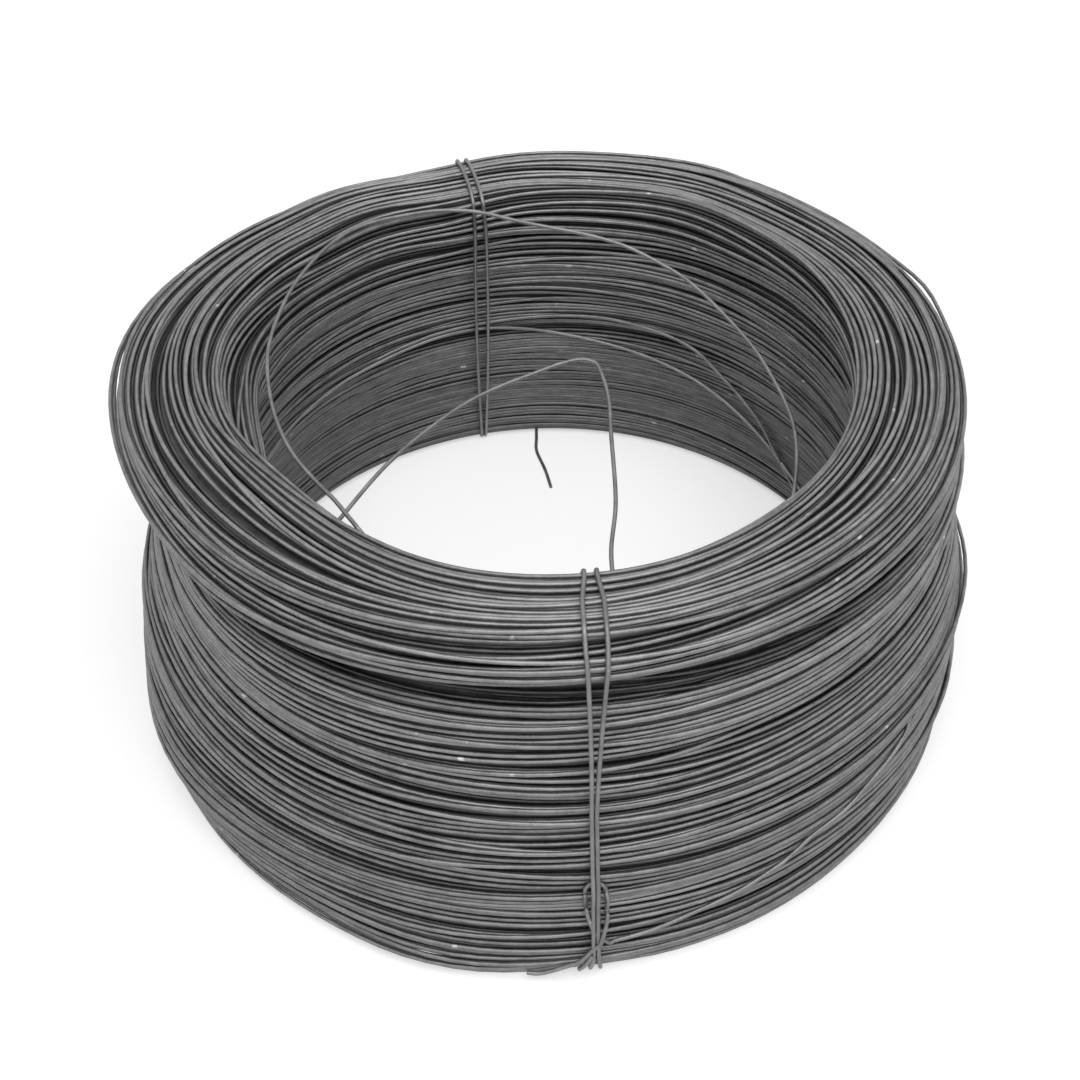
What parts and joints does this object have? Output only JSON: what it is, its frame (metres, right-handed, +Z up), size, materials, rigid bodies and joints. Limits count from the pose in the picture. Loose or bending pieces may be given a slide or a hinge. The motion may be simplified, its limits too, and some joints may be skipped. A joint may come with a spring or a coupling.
{
  "type": "coil of steel wire",
  "caption": "Loose-wound coil of thin annealed steel wire lying on its end, lashed by two doubled wire ties.",
  "frame": {"origin": "centre of the coil's base, on the level that it lies on", "axes": "+Z up along the coil's axis; the hitched tie is at -Y"},
  "size_m": [0.255, 0.2595, 0.1125],
  "materials": {
    "annealed_wire": "dull drawn and annealed steel, grey with a thin dark scale",
    "tie_wire": "the same wire, a shade darker and duller"
  },
  "bodies": {
    "root": {"wire_coil": "annealed_wire", "outer_wire_end": "annealed_wire", "inner_wire_end": "annealed_wire", "loose_inner_turn": "annealed_wire", "base_wire_end": "annealed_wire", "front_tie": "tie_wire", "back_tie": "tie_wire"}
  },
  "joints": []
}
